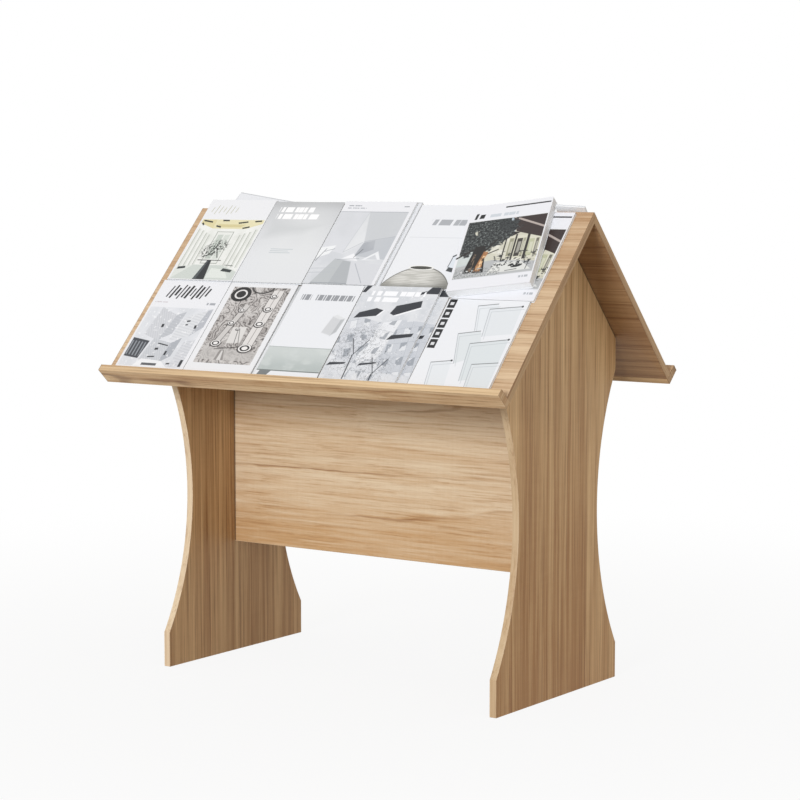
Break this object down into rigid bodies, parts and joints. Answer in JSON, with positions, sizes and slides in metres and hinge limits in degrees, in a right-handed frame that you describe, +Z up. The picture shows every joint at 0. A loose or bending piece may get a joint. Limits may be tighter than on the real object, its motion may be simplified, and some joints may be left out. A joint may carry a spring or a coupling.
{
  "type": "periodical display rack",
  "caption": "Double-sided sloping wooden rack for displaying periodicals, with lips, waisted end panels, a stretcher and magazines standing on it.",
  "frame": {"origin": "on the floor, midway between the end panels and midway between the two slopes", "axes": "+X along the ridge, +Y towards the rear slope, +Z up"},
  "size_m": [1.2, 0.8322, 1.2173],
  "materials": {
    "wood_board": "matt melamine, light oak",
    "edge_banding": "satin, light oak",
    "dowel_wood": "raw beech",
    "bolt_steel": "zinc plated",
    "cam_zinc": "die-cast zinc, dull",
    "magazine_paper": "coated paper, satin"
  },
  "bodies": {
    "rack": {"end_panel_left": "wood_board", "end_panel_right": "wood_board", "slope_front": "wood_board", "slope_rear": "wood_board", "lip_front": "wood_board", "lip_rear": "wood_board", "stretcher": "wood_board", "end_panel_left_banding": "edge_banding", "end_panel_right_banding": "edge_banding", "slope_front_banding": "edge_banding", "slope_rear_banding": "edge_banding", "lip_front_banding": "edge_banding", "lip_rear_banding": "edge_banding", "stretcher_banding": "edge_banding", "cam_bolts_stretcher": "bolt_steel", "cam_locks_stretcher": "cam_zinc", "dowels_stretcher": "dowel_wood", "cam_bolts_gables": "bolt_steel", "cam_locks_gables": "cam_zinc", "dowels_gables": "dowel_wood", "ridge_spline": "dowel_wood"},
    "magazine_low_1_body": {"magazine_low_1": "magazine_paper"},
    "magazine_low_2_body": {"magazine_low_2": "magazine_paper"},
    "magazine_low_3_under_body": {"magazine_low_3_under": "magazine_paper"},
    "magazine_low_3_body": {"magazine_low_3": "magazine_paper"},
    "magazine_low_4_under_body": {"magazine_low_4_under": "magazine_paper"},
    "magazine_low_4_body": {"magazine_low_4": "magazine_paper"},
    "magazine_low_5_body": {"magazine_low_5": "magazine_paper"},
    "magazine_high_1_under_body": {"magazine_high_1_under": "magazine_paper"},
    "magazine_high_1_body": {"magazine_high_1": "magazine_paper"},
    "magazine_high_2_body": {"magazine_high_2": "magazine_paper"},
    "magazine_high_3_under_body": {"magazine_high_3_under": "magazine_paper"},
    "magazine_high_3_body": {"magazine_high_3": "magazine_paper"},
    "magazine_high_4_body": {"magazine_high_4": "magazine_paper"},
    "magazine_high_5_body": {"magazine_high_5": "magazine_paper"},
    "magazine_high_5_top_body": {"magazine_high_5_top": "magazine_paper"},
    "magazine_rear_low_body": {"magazine_rear_low": "magazine_paper"},
    "magazine_rear_high_body": {"magazine_rear_high": "magazine_paper"}
  },
  "joints": [
    {"name": "magazine_low_1_lift", "type": "slide", "parent": "rack", "child": "magazine_low_1_body", "axis": [0, -0.7314, 0.682], "range_m": [0, 0.3]},
    {"name": "magazine_low_2_lift", "type": "slide", "parent": "rack", "child": "magazine_low_2_body", "axis": [0, -0.7314, 0.682], "range_m": [0, 0.3]},
    {"name": "magazine_low_3_under_lift", "type": "slide", "parent": "rack", "child": "magazine_low_3_under_body", "axis": [0, -0.7314, 0.682], "range_m": [0, 0.3]},
    {"name": "magazine_low_3_lift", "type": "slide", "parent": "magazine_low_3_under_body", "child": "magazine_low_3_body", "axis": [0, -0.7314, 0.682], "range_m": [0, 0.3]},
    {"name": "magazine_low_4_under_lift", "type": "slide", "parent": "rack", "child": "magazine_low_4_under_body", "axis": [0, -0.7314, 0.682], "range_m": [0, 0.3]},
    {"name": "magazine_low_4_lift", "type": "slide", "parent": "magazine_low_4_under_body", "child": "magazine_low_4_body", "axis": [0, -0.7314, 0.682], "range_m": [0, 0.3]},
    {"name": "magazine_low_5_lift", "type": "slide", "parent": "rack", "child": "magazine_low_5_body", "axis": [0, -0.7314, 0.682], "range_m": [0, 0.3]},
    {"name": "magazine_high_1_under_lift", "type": "slide", "parent": "rack", "child": "magazine_high_1_under_body", "axis": [0, -0.7314, 0.682], "range_m": [0, 0.3]},
    {"name": "magazine_high_1_lift", "type": "slide", "parent": "magazine_high_1_under_body", "child": "magazine_high_1_body", "axis": [0, -0.7314, 0.682], "range_m": [0, 0.3]},
    {"name": "magazine_high_2_lift", "type": "slide", "parent": "magazine_high_1_under_body", "child": "magazine_high_2_body", "axis": [0, -0.7314, 0.682], "range_m": [0, 0.3]},
    {"name": "magazine_high_3_under_lift", "type": "slide", "parent": "rack", "child": "magazine_high_3_under_body", "axis": [0, -0.7314, 0.682], "range_m": [0, 0.3]},
    {"name": "magazine_high_3_lift", "type": "slide", "parent": "magazine_high_3_under_body", "child": "magazine_high_3_body", "axis": [0, -0.7314, 0.682], "range_m": [0, 0.3]},
    {"name": "magazine_high_4_lift", "type": "slide", "parent": "rack", "child": "magazine_high_4_body", "axis": [0, -0.7314, 0.682], "range_m": [0, 0.3]},
    {"name": "magazine_high_5_lift", "type": "slide", "parent": "magazine_high_4_body", "child": "magazine_high_5_body", "axis": [0, -0.7314, 0.682], "range_m": [0, 0.3]},
    {"name": "magazine_high_5_top_lift", "type": "slide", "parent": "magazine_high_5_body", "child": "magazine_high_5_top_body", "axis": [0, -0.7314, 0.682], "range_m": [0, 0.3]},
    {"name": "magazine_rear_low_lift", "type": "slide", "parent": "rack", "child": "magazine_rear_low_body", "axis": [0, 0.7314, 0.682], "range_m": [0, 0.3]},
    {"name": "magazine_rear_high_lift", "type": "slide", "parent": "rack", "child": "magazine_rear_high_body", "axis": [0, 0.7314, 0.682], "range_m": [0, 0.3]}
  ]
}
